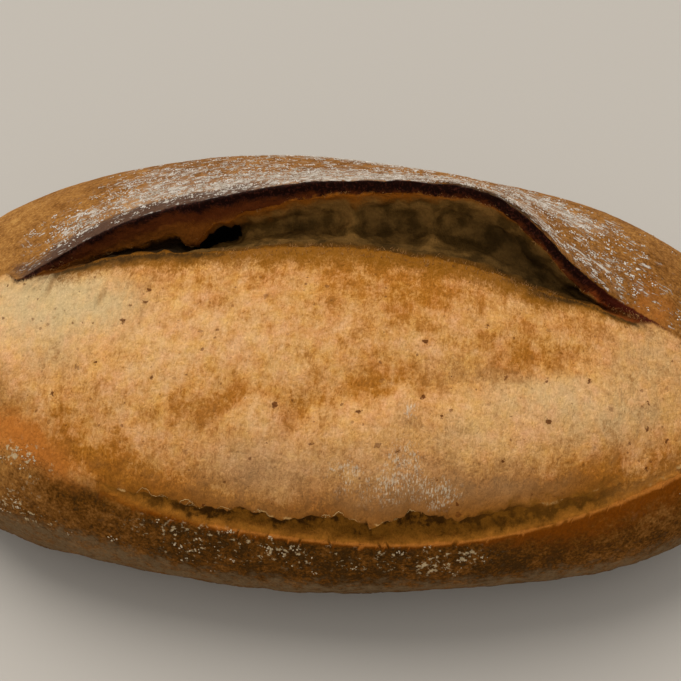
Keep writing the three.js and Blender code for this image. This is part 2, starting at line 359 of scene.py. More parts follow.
# marks in patches: station, angle, spread along, spread across in degrees, and amount
patches = {
    "bloomBake": [
        (0.12, 97, 0.24, 8, 0.28), (-0.6, 108, 0.15, 14, -0.2), (-0.4, 98, 0.1, 6, 0.16),
        (0.5, 104, 0.14, 5, 0.16), (0.42, 129, 0.14, 8, -0.08), (-0.44, 143, 0.08, 6, 0.28),
        (-0.53, 122, 0.1, 8, 0.18), (-0.48, 134, 0.07, 6, 0.2), (-0.22, 124, 0.07, 6, 0.08),
        (0.48, 148, 0.09, 4, 0.24), (0.32, 146, 0.1, 6, 0.12), (-0.03, 126, 0.03, 6, 0.08),
        (0.64, 125, 0.06, 6, 0.12), (0.14, 147, 0.16, 7, 0.16), (-0.3, 112, 0.13, 11, -0.1),
        (0.66, 110, 0.1, 12, 0.12), (0.35, 112, 0.14, 8, 0.12), (0.1, 121, 0.08, 5, 0.1),
        (0.22, 97, 0.06, 6, 0.12), (0.43, 113, 0.08, 5, 0.12),
    ],
    "bloomPale": [
        (-0.6, 102, 0.17, 13, 0.8), (-0.42, 105, 0.1, 8, 0.4), (0.66, 108, 0.14, 12, 0.45),
        (0.42, 121, 0.12, 6, 0.36), (0.6, 128, 0.15, 10, 0.46), (-0.55, 121, 0.1, 8, 0.3),
        (0.28, 134, 0.2, 12, 0.34), (0.26, 117, 0.12, 5, 0.2),
    ],
    "bloomDust": [
        (-0.1, 143, 0.13, 9, 1.15), (0.36, 144.5, 0.12, 5, 0.75), (0.15, 144, 0.13, 9, 0.9),
        (0.17, 128, 0.03, 3, 0.5),
    ],
    "bloomSpecks": [
        (0.06, 141, 0.03, 3.5, 0.7), (0.17, 139.5, 0.035, 6, 1.0), (0.24, 146.5, 0.04, 4, 1.0),
        (0.12, 146, 0.08, 5, 0.5), (0.175, 127, 0.02, 2, 0.7),
    ],
    "crustBake": [
        (-0.75, 70, 0.16, 40, -0.2), (0.62, 78, 0.2, 24, -0.03), (0.72, 164, 0.14, 16, -0.2),
        (-0.64, 141, 0.16, 13, -0.52), (-0.52, 163, 0.16, 12, -0.26), (-0.66, 158, 0.08, 14, -0.26),
        (-0.47, 158, 0.07, 6, 0.2), (0.6, 90, 0.09, 10, 0.16),
    ],
    "amberDough": [  # glassy swellings at the top of the groove
        (0.04, 157, 0.02, 1.8, 0.7), (0.125, 156, 0.016, 1.8, 1.0), (0.175, 156, 0.018, 1.6, 1.0),
        (0.25, 157, 0.03, 1.8, 0.6), (-0.12, 157, 0.03, 1.8, 0.5),
    ],
    "orangeCrust": [
        (0.66, 94, 0.06, 12, 0.5), (-0.58, 141, 0.11, 8, 0.95), (-0.46, 149, 0.08, 5, 0.75),
    ],
    "crustFlour": [
        (0.42, 62, 0.1, 9, 0.5), (0.52, 66, 0.1, 8, 0.55), (0.58, 82, 0.08, 10, 0.24),
        (-0.44, 64, 0.1, 16, 0.3), (-0.28, 56, 0.14, 12, 0.16), (-0.58, 82, 0.08, 7, 0.22),
        (0.03, 44, 0.22, 9, 0.62), (0.66, 84, 0.06, 14, 0.09), (0.1, 169, 0.2, 5, 0.3),
        (0.26, 171, 0.07, 6, 0.36), (-0.57, 149, 0.06, 5, 0.55), (-0.59, 168, 0.08, 7, 0.45),
        (-0.22, 167, 0.16, 10, 0.26), (0.6, 160, 0.14, 10, 0.06),
    ],
}


def addPatches(s, angle, name):
    total = 0 * (s + angle)
    for station, middle, along, across, amount in patches[name]:
        total = total + amount * bell(s, station, along) * bell(angle, middle, across)
    return total


def bloomFields(s, angle, arcs, lines, tear):
    past = angle - lines["crease"]
    # a stain along the crease, partly painted shade of the crease, wider above it than below
    stainAndShade = bell(past, 0, np.where(past < 0, bloomBake["stainAndShadeAbove"], bloomBake["stainAndShadeBelow"]))
    bake = bloomBake["plain"] + bloomBake["stainAndShade"] * stainAndShade * hump(s, bloomBake["stainAndShadeReach"])
    edge = np.maximum(tear, bloomBake["leftShare"] * hump(s, bloomBake["leftEdge"]))
    edge = edge * (1 - bloomBake["rightFade"] * smoothStep(s, *bloomBake["fadeReach"]))
    bake = bake + bloomBake["crag"] * np.exp(-np.abs(arcs["fromCrag"]) / bloomBake["cragWidth"]) * edge
    bake = bake + addPatches(s, angle, "bloomBake")
    # under the crest: a brown band, partly browning and partly painted shadow of the ear, and a darker
    # painted shade at its edge where the ear overhangs
    cut = between(s, cutEnds["left"], cutEnds["right"])
    short = 1 - crestBrownAndShadow["short"] * smoothStep(s, *crestBrownAndShadow["shortReach"])
    brown = (crestBrownAndShadow["least"] + crestBrownAndShadow["most"] * hump(s, crestBrownAndShadow["reach"])) * short
    shaded = np.maximum(smoothStep(-s, *crestBrownAndShadow["leftShade"]), smoothStep(s, *crestBrownAndShadow["rightShade"]))
    return {
        "bloomBake": bake, "bloomPale": addPatches(s, angle, "bloomPale"),
        "bloomDust": addPatches(s, angle, "bloomDust"), "bloomSpecks": addPatches(s, angle, "bloomSpecks"),
        "bloomReach": 1 - smoothStep(np.abs(s), *bloomBake["endReach"]) + 0 * angle,
        "fromBloom": (arcs["fromRim"] - cutEnds["edge"]) * (1 - cut) + arcs["fromCrest"] * cut,
        "crestBrownAndShadow": (1 - arcs["fromCrest"] / brown) * cut - crestBrownAndShadow["closed"] * (1 - cut),
        "crestShade": shaded * cut * np.clip(1 - arcs["fromCrest"] / (crestBrownAndShadow["shade"] * short), 0, 1),
        "pullShade": pulledRidges(s, angle, bloom["pullShadow"]),
    }


def crustFields(s, angle, section, arcs, tear):
    fromRim, fromCrag, fromLip = arcs["fromRim"], arcs["fromCrag"], arcs["fromLip"]
    y, z = section[..., 0], section[..., 1]
    front = smoothStep(-y, *crustBake["frontReach"])
    crust = crustBake["back"] + (crustBake["front"] - crustBake["back"]) * front
    crust = crust + (crustBake["under"] - crust) * smoothStep(-z, *crustBake["underReach"])
    crust = crust + addPatches(s, angle, "crustBake")
    onBack = fromRim < 0
    singed = between(s, rimBurn["singeReach"], rimBurn["singeEnd"])
    singed = singed * smoothStep(fromRim, *rimBurn["singeDepth"]) * onBack
    crust = crust + rimBurn["singe"] * singed

    purple = hump(s, rimBurn["purpleReach"])
    place = crustFlour["bandPlace"] + crustFlour["bandLeft"] * purple
    flour = crustFlour["band"] * bell(fromRim, place, crustFlour["bandWidth"])
    flour = flour + crustFlour["haze"] * np.exp(np.minimum(fromRim, 0) / crustFlour["hazeWidth"])
    flour = flour * np.sqrt(hump(s, crustFlour["bandReach"])) * onBack
    flour = flour * (1 - crustFlour["endFade"] * smoothStep(s, *crustFlour["bandEnd"]))
    flour = flour + addPatches(s, angle, "crustFlour")
    flour = flour * (1 - crustFlour["purpleBare"] * purple * smoothStep(fromRim, *rimBurn["bare"]) * onBack)
    flour = flour * (1 - crustFlour["singeBare"] * singed)

    edge = fromLip + lipFade["rise"] * smoothStep(-s, *lipFade["leftReach"])
    softer = (lipFade["soft"] - lipFade["sharp"]) * smoothStep(-s, *lipFade["softReach"])
    glow = lipFade["glow"] + lipFade["rightGlow"] * smoothStep(s, *lipFade["glowReach"])
    slope = lipFade["leastSlope"] + lipFade["slope"] * smoothStep(s, *lipFade["slopeReach"])
    fade = smoothStep(s, *bloomBake["fadeReach"])
    # painted shade in the groove: stronger where the tear is deep, and in a band across its middle
    least, more = lipFade["deep"]
    deep = tear * smoothStep(s, *lipFade["deepReach"]) * (least + more * shallowing(s) ** 2)
    down = fromCrag / np.maximum(fromCrag - fromLip, lipFade["leastBand"])
    foot = angle + lipFade["footRise"] * smoothStep(-s, *lipFade["footLeft"])
    return {
        "crustBake": crust, "crustFlour": flour, "flourLine": np.where(angle < spineAngle, fromRim, fromLip),
        "shoulder": addPatches(s, angle, "orangeCrust"), "amber": addPatches(s, angle, "amberDough"),
        "fromEdge": edge / (lipFade["sharp"] + softer), "fromTear": fromCrag / slope,
        "lipGlow": np.exp(-np.abs(fromLip) / glow) * tear,
        "lipRidge": bell(fromLip, 0, lipFade["ridge"]) * smoothStep(s, *lipFade["ridgeReach"]) * tear,
        "tornDeep": deep * (1 - fade) + 0 * angle, "slopeFade": fade + 0 * angle,
        "grooveShadeBand": bell(down, *lipFade["grooveShadeBand"]) * tear,
        "footDust": smoothStep(foot, *lipFade["footStart"]) * (1 - smoothStep(angle, *lipFade["footEnd"])),
    }


def rimFields(s, angle, arcs, opening):
    fromRim, fromFoot = arcs["fromRim"], arcs["fromFoot"]
    inward = np.clip(fromFoot / np.maximum(fromFoot - arcs["fromCrest"], 1e-3), 0, 1)
    # painted shade in the hollow: a near-black hole, the crack under the ear's left, the right end, bays in
    # the middle and the part next to the crest
    paintedHoleShade = between(s, hollowShade["holeLeft"], hollowShade["holeRight"])
    paintedHoleShade = paintedHoleShade * between(inward, *hollowShade["holeDepth"])
    crack = smoothStep(-s, *hollowShade["crackReach"]) * between(inward, *hollowShade["crackDepth"])
    right = smoothStep(s, *hollowShade["rightReach"]) * between(inward, *hollowShade["rightDepth"])
    bays = hollowShade["bay"] * bell(s, *hollowShade["bayPlace"])
    bays = bays + hollowShade["wideBay"] * between(s, *hollowShade["wideReach"])
    bays = bays * bell(inward, *hollowShade["bayDepth"])
    low = hollowShade["low"] * between(inward, *hollowShade["lowDepth"])
    dark = np.maximum.reduce([hollowShade["crack"] * crack, hollowShade["right"] * right, bays, low])
    purple = hump(s, rimBurn["purpleReach"]) * smoothStep(fromRim, *rimBurn["purple"])
    blackTop = rimBurn["top"] * between(s, rimBurn["topReach"], rimBurn["topEnd"])
    least, more, rightMore = rimBurn["face"]
    blackFace = least + more * smoothStep(s, *rimBurn["faceReach"])
    blackFace = blackFace + rightMore * smoothStep(s, *rimBurn["faceEnd"])
    growth, start = hollowShade["ceilingGrowth"]
    return {
        "rimBurn": between(s, rimBurn["leftEnd"], rimBurn["rightEnd"]) + 0 * angle,
        "ceiling": fromFoot + (growth * fromFoot + start) * smoothStep(s, *hollowShade["ceilingReach"]),
        "rightRed": smoothStep(s, *rimBurn["redReach"]) + 0 * angle,
        # where the ear's cut face gets a painted highlight, at its right end
        "paintedLitFace": smoothStep(s, *rimBurn["paintedLightReach"]) + 0 * angle,
        "rimPurple": purple, "paintedHoleShade": paintedHoleShade * opening, "paintedHollowShade": dark * opening,
        "fromBlack": fromRim + blackTop, "downFace": fromRim - blackFace,
    }


def setAttribute(obj, name, values):
    attribute = obj.data.attributes.new(name, "FLOAT", "POINT")
    attribute.data.foreach_set("value", np.asarray(values, dtype=np.float32))


def readAttribute(obj, name):
    values = np.empty(len(obj.data.vertices))
    obj.data.attributes[name].data.foreach_get("value", values)
    return values


def readVectors(rows, name):
    values = np.empty(len(rows) * 3)
    rows.foreach_get(name, values)
    return values.reshape(-1, 3)


def setGroup(obj, name, weights, levels=20):
    group = obj.vertex_groups.new(name=name)
    nearest = np.rint(np.clip(weights, 0, 1) * levels).astype(int)
    for level in range(1, levels + 1):
        group.add(np.flatnonzero(nearest == level).tolist(), level / levels, "REPLACE")


skinReach = {  # how far each kind of relief goes, in millimetres from the cut's lines
    "floor": 0.4, "bloomStart": 3, "bloomLeast": 0.3, "crag": 7, "crest": (-1, 2.5),
    "rim": (0, 1.8), "rimShare": 0.5, "foot": (10, 13),
}


def shapeLoaf():
    s = ringStations()
    rows, lines, opening, tear = shapeSections(s)
    section = np.concatenate([points for _, _, points in rows], 1)
    angles = np.concatenate([angle for _, angle, _ in rows], 1)
    names = np.concatenate([[name] * points.shape[1] for name, _, points in rows])
    rings, segments = section.shape[:2]

    deselectAll()
    bpy.ops.mesh.primitive_uv_sphere_add(segments=segments, ring_count=rings + 1, radius=1)
    loaf = bpy.context.active_object
    loaf.name = "sourdoughLoaf"
    count = len(loaf.data.vertices)
    ball = readVectors(loaf.data.vertices, "co")
    ring = np.rint(np.arccos(np.clip(-ball[:, 2], -1, 1)) / math.pi * (rings + 1)).astype(int) - 1
    segment = np.rint(np.arctan2(ball[:, 1], ball[:, 0]) / (2 * math.pi) * segments).astype(int) % segments
    pole = (ring < 0) | (ring >= rings)
    ring = np.clip(ring, 0, rings - 1)

    middleY = (section[..., 0].min() + section[..., 0].max()) / 2
    place = np.empty((count, 3))
    place[:, 0] = s[ring, 0] * loafLength / 2
    place[:, 1:] = section[ring, segment]
    place[pole, 0] = np.sign(ball[pole, 2]) * loafLength / 2 * loafForm["noseStation"]
    place[pole, 1] = 0
    place[pole, 2] = loafForm["noseHeight"]
    place[:, 1] -= middleY
    loaf.data.vertices.foreach_set("co", (place * mm).ravel())
    loaf.data.update()

    # lengths along each section from the lines of the cut
    step = np.linalg.norm(np.diff(section, axis=1, append=section[:, :1]), axis=-1)
    arc = np.concatenate([0 * step[:, :1], np.cumsum(step, 1)[:, :-1]], 1)
    arcs = {}
    firstStrips = {"fromRim": "face", "fromFoot": "mouth", "fromCrest": "bloom", "fromCrag": "groove",
                   "fromLip": "front"}
    for field, name in firstStrips.items():
        column = int(np.argmax(names == name))
        arcs[field] = arc - arc[:, column:column + 1]
    spine = np.array([np.interp(spineAngle, *row) for row in zip(angles, arc)])[:, None]
    fields = {**arcs, "opening": opening + 0 * angles, "tear": tear + 0 * angles, "across": arc - spine,
              **bloomFields(s, angles, arcs, lines, tear), **crustFields(s, angles, section, arcs, tear),
              **rimFields(s, angles, arcs, opening)}
    for name, values in fields.items():
        setAttribute(loaf, name, values[ring, segment])
    setAttribute(loaf, "gridPlace", ring * segments + segment)

    def onStrips(*wanted):
        return np.isin(names, wanted)[None, :]

    isCrust = onStrips("base", "under", "back", "front") & (section[..., 1] >= skinReach["floor"])
    nearCrag = np.exp(-np.abs(arcs["fromCrag"]) / skinReach["crag"])
    fromStart = np.clip(arcs["fromCrest"] / skinReach["bloomStart"], skinReach["bloomLeast"], 1)
    nearRim = skinReach["rimShare"] * bell(arcs["fromRim"], *skinReach["rim"])
    skins = {
        "crustSkin": isCrust * 1.0,
        "bloomSkin": onStrips("bloom") * fromStart,
        "crumbSkin": onStrips("mouth") * opening,
        "cragSkin": np.maximum(onStrips("groove") * tear, onStrips("bloom") * tear * nearCrag),
        "crestSkin": bell(arcs["fromCrest"], *skinReach["crest"]) * opening,
        "rimSkin": np.maximum(onStrips("face"), nearRim) * opening,
        "footSkin": isCrust * bell(section[..., 1], *skinReach["foot"]),
    }
    for name, weights in skins.items():
        setGroup(loaf, name, (weights + 0 * angles)[ring, segment])
    print("loaf shaped,", count, "vertices")
    return loaf


roughness = [  # relief of each skin: kind of noise, its size, its height, and its stretch along x, y and z
    ("crustSkin", "CLOUDS", 20, 0.9, (1.5, 1, 1)),
    ("crustSkin", "CLOUDS", 2.6, 0.28, (1, 1, 1)),
    ("bloomSkin", "CLOUDS", 11, 1.3, (1, 1.3, 1.3)),
    ("bloomSkin", "CLOUDS", 2.4, 0.5, (1, 1.6, 1.6)),
    ("crumbSkin", "VORONOI", 4.5, 1.2, (1.6, 1, 1)),
    ("crumbSkin", "CLOUDS", 3.2, 1.7, (1.4, 1, 1)),
    ("cragSkin", "CLOUDS", 5, 2.4, (1.2, 1, 1)),
    ("cragSkin", "CLOUDS", 2.0, 1.7, (1, 1, 1)),
    ("rimSkin", "CLOUDS", 3.4, 1.3, (1.4, 1, 1)),
    ("rimSkin", "CLOUDS", 1.5, 0.8, (1, 1, 1)),
    ("crestSkin", "CLOUDS", 1.8, 1.3, (1, 1, 1)),
    ("footSkin", "CLOUDS", 5, 1.6, (2, 1, 1)),
]
relief = {"place": (0.3, 0.2, 0.1), "depth": 3}  # each noise is read about a place of its own


def smoothSkin():
    bpy.ops.object.mode_set(mode="EDIT")
    bpy.ops.mesh.select_all(action="SELECT")
    bpy.ops.mesh.normals_make_consistent(inside=False)
    bpy.ops.mesh.select_all(action="DESELECT")
    bpy.ops.object.mode_set(mode="OBJECT")
    bpy.ops.object.shade_smooth()


def roughenLoaf(loaf):
    deselectAll()
    x, y, z = relief["place"]
    for number, (skin, kind, size, height, stretch) in enumerate(roughness):
        bpy.ops.object.empty_add(location=(x * number, y, z))
        guide = bpy.context.active_object
        guide.scale = stretch
        texture = bpy.data.textures.new(skin + str(number), kind)
        texture.noise_scale = size * mm
        if kind == "CLOUDS":
            texture.noise_depth = relief["depth"]
        bpy.context.view_layer.update()
        deselectAll()
        loaf.select_set(True)
        bpy.context.view_layer.objects.active = loaf
        bpy.ops.object.modifier_add(type="DISPLACE")
        modifier = loaf.modifiers[-1]
        modifier.texture = texture
        modifier.texture_coords = "OBJECT"
        modifier.texture_coords_object = guide
        modifier.strength = height * mm
        modifier.mid_level = 0.5
        modifier.vertex_group = skin
        bpy.ops.object.modifier_apply(modifier=modifier.name)
        bpy.data.objects.remove(guide)
        bpy.data.textures.remove(texture)
    smoothSkin()
    print("skins roughened")


# materials

def tone(red, green, blue):
    # a colour as it is picked on screen
    channels = [value / 255 for value in (red, green, blue)]
    return tuple(c / 12.92 if c <= 0.04045 else ((c + 0.055) / 1.055) ** 2.4 for c in channels) + (1,)


def newMaterial(name):
    material = bpy.data.materials.new(name)
    material.use_nodes = True
    return material, material.node_tree, material.node_tree.nodes["Principled BSDF"].inputs


def putNode(tree, kind, inputs=None, **settings):
    node = tree.nodes.new("ShaderNode" + kind)
    for name, value in settings.items():
        setattr(node, name, value)
    for key, value in (inputs or {}).items():
        if isinstance(value, bpy.types.NodeSocket):
            tree.links.new(value, node.inputs[key])
        else:
            node.inputs[key].default_value = value
    return node


def calc(tree, operation, first, second=0.0, clamp=False):
    return putNode(tree, "Math", {0: first, 1: second}, operation=operation, use_clamp=clamp).outputs[0]


def times(tree, first, second, clamp=False):
    return calc(tree, "MULTIPLY", first, second, clamp)


def ramp(tree, value, low, high, least=0.0, most=1.0):
    ends = {"Value": value, "From Min": low, "From Max": high, "To Min": least, "To Max": most}
    return putNode(tree, "MapRange", ends, interpolation_type="SMOOTHSTEP").outputs[0]


def blend(tree, share, first, second, mode="MIX"):
    return putNode(tree, "Mix", {0: share, 6: first, 7: second}, data_type="RGBA", blend_type=mode).outputs[2]


def cloud(tree, place, size, detail=3.0, rough=0.55, stretch=(1, 1, 1), start=0.0, swirl=0.0):
    spot = putNode(tree, "Mapping", {"Vector": place, "Location": (start, start * 0.7, start * 0.3),
                                     "Scale": tuple(1 / (size * along) for along in stretch)})
    return putNode(tree, "TexNoise", {"Vector": spot.outputs[0], "Scale": 1.0, "Detail": detail,
                                      "Roughness": rough, "Distortion": swirl}).outputs[0]


def tones(tree, value, stops):
    node = putNode(tree, "ValToRGB", {"Fac": value})
    elements = node.color_ramp.elements
    while len(elements) < len(stops):
        elements.new(0.5)
    for element, (position, colour) in zip(elements, stops):
        element.position = position
        element.color = colour
    return node.outputs[0]


def attribute(tree, name):
    return putNode(tree, "Attribute", attribute_name=name).outputs["Fac"]


def shift(tree, value, change, amount, middle=0.5):
    # the value moved by a noise about its middle
    moved = times(tree, calc(tree, "SUBTRACT", change, middle), amount)
    return calc(tree, "ADD", value, moved)


def stir(tree, value, noises, **amounts):
    # the value moved by each of the named noises, a name standing for an attribute
    if isinstance(value, str):
        value = attribute(tree, value)
    for name, amount in amounts.items():
        value = shift(tree, value, noises[name], amount)
    return value


def objectPlace(tree):
    # where a point of the piece is, in millimetres
    place = putNode(tree, "TexCoord").outputs["Object"]
    return putNode(tree, "VectorMath", {0: place, "Scale": 1 / mm}, operation="SCALE").outputs[0]


crustTones = {
    "ramp": [(0.0, tone(196, 147, 80)), (0.35, tone(166, 115, 56)), (0.6, tone(133, 86, 36)),
             (0.82, tone(98, 58, 11)), (1.0, tone(65, 40, 8))],
    "purple": tone(80, 59, 50), "burnt": tone(28, 10, 5), "ember": tone(100, 32, 10),
    "singed": tone(78, 38, 28),
    # faceRed and faceOrange are the cut face's own colours; the third is a painted highlight on the face's
    # lit underside at the right end
    "faceRed": tone(94, 45, 16), "faceOrange": tone(140, 80, 26), "paintedFaceLight": tone(190, 90, 36),
    "crumb": tone(147, 108, 54), "crumbShade": tone(92, 66, 28), "ceiling": tone(172, 102, 28),
    # crest also colours the band under the crest, partly painted shadow of the ear; crestShade, hole and pit
    # are painted shade
    "crest": tone(136, 85, 18), "crestShade": tone(44, 32, 14), "paintedHoleShade": tone(12, 9, 5), "paintedPitShade": tone(3, 2, 2),
    "lip": tone(178, 114, 40), "glow": tone(124, 62, 0), "ridge": tone(206, 128, 54),
    "flour": tone(209, 200, 188), "frontFlour": tone(198, 174, 134), "foot": tone(128, 104, 74),
    "groove": tone(130, 83, 22), "grooveDark": tone(66, 39, 7), "flake": tone(214, 170, 108),
    "slope": tone(160, 108, 52), "amber": tone(172, 110, 30), "shoulder": tone(188, 112, 44),
}
bloomTones = {
    "ramp": [(0.0, tone(226, 184, 132)), (0.3, tone(216, 168, 114)), (0.52, tone(202, 147, 86)),
             (0.75, tone(172, 110, 38)), (1.0, tone(110, 64, 12))],
    "cream": tone(202, 178, 132), "rosy": tone(255, 245, 250), "sallow": tone(255, 252, 222),
    # the stain tone, at the crease, is partly painted shade
    "stainAndShade": tone(164, 102, 32), "veil": tone(170, 138, 100), "dust": tone(214, 196, 168),
    "bran": tone(92, 46, 10), "pullShade": tone(146, 102, 52),
}


branFleck = {  # size of the grid they lie on, share of its cells that have one, and how dark it is
    "kinds": [(5.2, 0.25, 0.9), (3.0, 0.2, 0.65)],
    "radius": (-0.06, 0.13), "ragged": 0.6, "edge": (-0.035, 0.04), "paler": 0.5,
}
breadNoises = {  # sizes in millimetres
    "broad": {"size": 24},
    "medium": {"size": 6, "detail": 4, "start": 3.1},
    "small": {"size": 2.4, "detail": 4, "rough": 0.6, "start": 1.9},
    "fine": {"size": 0.8, "rough": 0.6, "start": 7.7},
    "fibre": {"size": 0.75, "detail": 2, "rough": 0.6, "stretch": (0.8, 1.6, 1.6),
              "start": 5.3, "swirl": 1.2},
    "streaky": {"size": 2.4, "detail": 4, "rough": 0.65, "stretch": (0.7, 2.6, 2.6),
                "start": 8.8, "swirl": 0.4},
}
breadSkin = {
    "roughness": (0.7, 0.84), "bloomRoughness": 0.1, "specular": 0.05, "bump": 0.8, "bumpDistance": 0.9,
    "reliefs": {"small": 0.9, "fibre": 0.4, "dust": 0.35, "fine": 0.35},
}


def branFlecks(tree, place, ragged, size, share, strength):
    # dark bran here and there on the skin, of uneven size
    spot = putNode(tree, "Mapping", {"Vector": place, "Scale": (1 / size, 1 / size, 1 / size)})
    spots = putNode(tree, "TexVoronoi", {"Vector": spot.outputs[0], "Scale": 1.0}, voronoi_dimensions="2D")
    chosen = putNode(tree, "SeparateColor", {0: spots.outputs["Color"]})
    radius = ramp(tree, chosen.outputs[0], 1 - share, 1.0, *branFleck["radius"])
    away = shift(tree, spots.outputs["Distance"], ragged, branFleck["ragged"])
    inside = ramp(tree, calc(tree, "SUBTRACT", radius, away), *branFleck["edge"])
    dark = ramp(tree, chosen.outputs[1], 0.1, 0.7, branFleck["paler"] * strength, strength)
    return times(tree, inside, dark)


def bloomColours(tree, place, onSkin, noises):
    baked = stir(tree, "bloomBake", noises, broad=0.5, medium=0.7, streaky=0.5)
    baked = stir(tree, baked, noises, small=0.42, fine=0.36, fibre=0.34)
    colour = tones(tree, baked, bloomTones["ramp"])
    for size, name, start in ((9, "rosy", 6.2), (4, "rosy", 1.4), (6, "sallow", 9.9), (3, "sallow", 3.8)):
        tint = ramp(tree, cloud(tree, place, size, 3, start=start), 0.42, 0.66, 0.0, 0.62)
        colour = blend(tree, tint, colour, blend(tree, 1.0, colour, bloomTones[name], "MULTIPLY"))
    pale = stir(tree, "bloomPale", noises, medium=0.9, streaky=0.6)
    colour = blend(tree, ramp(tree, pale, 0.1, 0.95, 0.0, 0.85), colour, bloomTones["cream"])
    stains = stir(tree, baked, noises, medium=1.0, streaky=0.7)
    colour = blend(tree, ramp(tree, stains, 0.6, 1.05, 0.0, 0.6), colour, bloomTones["stainAndShade"])
    dusty = times(tree, stir(tree, "bloomDust", noises, medium=0.5), 0.45, True)
    colour = blend(tree, dusty, colour, bloomTones["veil"])
    specked = attribute(tree, "bloomSpecks")
    lying = cloud(tree, place, 0.45, 3, 0.65, stretch=(0.8, 2.4, 2.4), start=12.1)
    specks = stir(tree, shift(tree, times(tree, specked, 0.35), lying, 2.2), noises, small=1.4)
    specks = times(tree, ramp(tree, specks, 0.2, 0.7), ramp(tree, specked, 0.05, 0.6))
    colour = blend(tree, times(tree, specks, 0.7), colour, bloomTones["dust"])
    for kind in branFleck["kinds"]:
        bran = branFlecks(tree, onSkin, noises["fine"], *kind)
        colour = blend(tree, bran, colour, bloomTones["bran"])
    # brown under the crest, partly browning and partly painted shadow of the ear, then darker painted shade
    # of the ear at its edge
    brown = stir(tree, "crestBrownAndShadow", noises, medium=1.4, fibre=1.6)
    colour = blend(tree, ramp(tree, brown, -0.9, 0.5, 0.0, 0.92), colour, crustTones["crest"])
    pulled = stir(tree, "pullShade", noises, fine=1.0)
    colour = blend(tree, ramp(tree, pulled, 0.4, 1.9, 0.0, 0.5), colour, bloomTones["pullShade"])
    shaded = stir(tree, "crestShade", noises, small=1.2)
    return blend(tree, ramp(tree, shaded, 0.0, 0.9, 0.0, 0.85), colour, crustTones["crestShade"])


def lyingDust(tree, floured, clump, drift, noises):
    dust = shift(tree, times(tree, floured, 0.42), clump, 2.2)
    dust = stir(tree, shift(tree, dust, drift, 1.0), noises, fine=0.5)
    return times(tree, ramp(tree, dust, 0.26, 0.5), ramp(tree, floured, 0.02, 0.2, 0.0, 0.85))


def burntColour(tree, noises):
    singed = stir(tree, noises["fine"], noises, fibre=0.8)
    burnt = blend(tree, ramp(tree, singed, 0.5, 0.72, 0.0, 0.8), crustTones["burnt"], crustTones["singed"])
    return blend(tree, times(tree, attribute(tree, "rightRed"), 0.4), burnt, crustTones["ember"])


def crustColours(tree, place, alongCut, noises):
    browned = stir(tree, "crustBake", noises, broad=0.45, medium=0.5, small=0.65, fine=0.75)
    colour = tones(tree, browned, crustTones["ramp"])
    foot = ramp(tree, stir(tree, "footDust", noises, small=2.4), 0.2, 1.3, 0.0, 0.66)
    colour = blend(tree, foot, colour, crustTones["foot"])
    shoulder = stir(tree, "shoulder", noises, medium=0.8)
    colour = blend(tree, ramp(tree, shoulder, 0.1, 0.9, 0.0, 0.85), colour, crustTones["shoulder"])

    # back: flour combed along the cut, purple and then black towards the rim
    floured = attribute(tree, "crustFlour")
    clump = cloud(tree, alongCut, 1.1, 3, 0.6, stretch=(1.9, 1, 1), start=2.2, swirl=0.6)
    drift = cloud(tree, alongCut, 5, 3, 0.6, stretch=(1.5, 1, 1), start=4.4)
    thick = lyingDust(tree, floured, clump, drift, noises)
    dust = calc(tree, "MAXIMUM", thick, ramp(tree, shift(tree, floured, drift, 1.2), 0.2, 1.1, 0.0, 0.25))
    purple = stir(tree, "rimPurple", noises, medium=0.8)
    backColour = blend(tree, ramp(tree, purple, 0.2, 0.7, 0.0, 0.9), colour, crustTones["purple"])
    backColour = blend(tree, dust, backColour, crustTones["flour"])
    black = stir(tree, "fromBlack", noises, small=2.0)
    black = times(tree, ramp(tree, black, -0.5, 0.4), attribute(tree, "rimBurn"))
    backColour = blend(tree, black, backColour, burntColour(tree, noises))

    # front: a glow under the lip and spots of flour
    glow = ramp(tree, stir(tree, "lipGlow", noises, small=0.8), 0.2, 0.8, 0.0, 0.85)
    frontColour = blend(tree, glow, colour, crustTones["glow"])
    clump = cloud(tree, place, 1.3, 3, 0.6, start=2.9)
    drift = cloud(tree, place, 5, 3, start=7.1)
    spots = lyingDust(tree, times(tree, floured, 0.75), clump, drift, noises)
    frontColour = blend(tree, spots, frontColour, crustTones["frontFlour"])
    return backColour, frontColour, dust


def hollowColours(tree, onSkin, noises):
    # cut face of the ear, then the crumb in the hollow
    hair = cloud(tree, onSkin, 0.5, 4, 0.65, stretch=(5.0, 1.0, 1), start=2.7)
    downFace = shift(tree, stir(tree, "downFace", noises, medium=4.0), hair, 3.0)
    downFace = stir(tree, downFace, noises, small=4.0)
    # towards the right end the red cut face turns into a painted highlight
    red = blend(tree, attribute(tree, "paintedLitFace"), crustTones["faceRed"], crustTones["paintedFaceLight"])
    face = blend(tree, ramp(tree, downFace, -1.4, 1.2), burntColour(tree, noises), red)
    face = blend(tree, ramp(tree, downFace, 1.6, 6.0), face, crustTones["faceOrange"])
    lit = ramp(tree, noises["medium"], 0.38, 0.62)
    crumb = blend(tree, lit, crustTones["crumbShade"], crustTones["crumb"])
    ceiling = stir(tree, "ceiling", noises, medium=7.0, small=4.0)
    crumb = blend(tree, ramp(tree, ceiling, 8.0, 0.0), crumb, crustTones["ceiling"])
    nearCrest = stir(tree, "fromCrest", noises, medium=6.0)
    crumb = blend(tree, ramp(tree, nearCrest, -8.0, -1.0), crumb, crustTones["crest"])
    # painted shade darkens the hollow's crumb, and the hole is painted near-black shade
    crumb = blend(tree, attribute(tree, "paintedHollowShade"), crumb, crustTones["paintedHoleShade"])
    paintedHoleShade = ramp(tree, stir(tree, "paintedHoleShade", noises, small=1.0), 0.35, 0.6)
    return face, blend(tree, paintedHoleShade, crumb, crustTones["paintedPitShade"])


